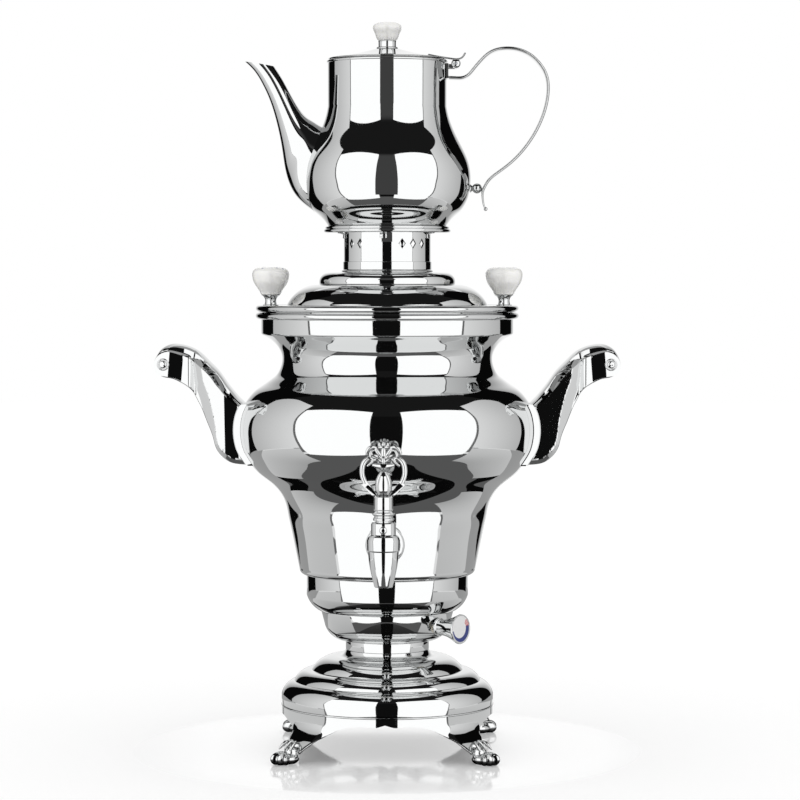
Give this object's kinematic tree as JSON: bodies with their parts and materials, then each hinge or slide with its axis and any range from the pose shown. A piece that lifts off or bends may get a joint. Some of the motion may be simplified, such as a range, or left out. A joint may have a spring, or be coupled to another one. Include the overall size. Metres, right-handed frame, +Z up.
{
  "type": "samovar",
  "caption": "Footed electric samovar with front tap, side handles, thermostat knob and a lid whose vented collar carries a spouted, hinged-lid teapot.",
  "frame": {"origin": "on the vertical axis at floor level, in the plane of the paw soles", "axes": "+Z up, the tap faces -Y, the side handles lie along X and the teapot's spout points to -X"},
  "size_m": [0.3658, 0.2613, 0.5706],
  "materials": {
    "chrome": "polished chrome-plated sheet steel",
    "steel": "plain steel fastener",
    "porcelain": "white glazed porcelain with small blue decor",
    "aluminium": "cast heat spreader",
    "element_sheath": "heat-darkened steel sheath",
    "phenolic": "moulded phenolic",
    "black_plastic": "moulded black plastic",
    "brass": "plated pin",
    "silicone": "silicone rubber",
    "dial": "printed dial face"
  },
  "bodies": {
    "stand": {"foot_skirt": "chrome", "paw_front_left": "chrome", "paw_front_right": "chrome", "paw_rear_left": "chrome", "paw_rear_right": "chrome", "paw_screws": "steel", "base_dome": "chrome", "base_plate": "chrome", "neck": "chrome", "control_bowl": "chrome", "housing_ring": "chrome", "tie_rod": "steel", "tie_nuts": "steel", "tank_vase": "chrome", "tank_belly_lower": "chrome", "tank_belly_upper": "chrome", "tank_rim": "chrome", "heat_plate": "aluminium", "heating_ring": "element_sheath", "thermal_cutout": "phenolic", "thermostat_body": "phenolic", "inlet_socket": "black_plastic", "inlet_pins": "brass", "tap_washer": "silicone", "tap_escutcheon": "chrome", "tap_backnut": "steel", "tap_shank": "chrome", "tap_body": "chrome", "tap_stop_pin": "steel", "handle_left": "chrome", "handle_right": "chrome", "grip_left": "chrome", "grip_right": "chrome", "grip_screws": "steel", "root_bolts": "steel"},
    "tap_key": {"key_plug": "chrome", "key_handle": "chrome"},
    "thermostat_knob": {"thermostat_shaft": "steel", "control_knob": "chrome", "dial_disc": "dial"},
    "tank_lid": {"lid": "chrome", "lid_knob_left": "porcelain", "lid_knob_right": "porcelain", "knob_ferrules": "chrome", "collar": "chrome", "pot_rest": "chrome"},
    "teapot": {"pot_shell": "chrome", "pot_spout": "chrome", "pot_handle": "chrome", "handle_stud": "chrome", "hinge_bracket": "chrome", "hinge_pin": "steel"},
    "teapot_lid": {"pot_lid": "chrome", "lid_leaf": "chrome", "pot_knob": "porcelain", "pot_knob_ferrule": "chrome"}
  },
  "joints": [
    {"name": "tap_key_turn", "type": "hinge", "parent": "stand", "child": "tap_key", "pos_m": [0, -0.132, 0.1685], "axis": [0, 0, 1], "range_deg": [0, 90]},
    {"name": "thermostat_turn", "type": "hinge", "parent": "stand", "child": "thermostat_knob", "pos_m": [0, 0, 0.1002], "axis": [0.7771, -0.6293, 0], "range_deg": [0, 270]},
    {"name": "lid_lift", "type": "slide", "parent": "stand", "child": "tank_lid", "axis": [0, 0, 1], "range_m": [0, 0.12]},
    {"name": "teapot_lift", "type": "slide", "parent": "tank_lid", "child": "teapot", "axis": [0, 0, 1], "range_m": [0, 0.1]},
    {"name": "teapot_lid_hinge", "type": "hinge", "parent": "teapot", "child": "teapot_lid", "pos_m": [0.0537, 0, 0.5381], "axis": [0, 1, 0], "range_deg": [0, 80]}
  ]
}
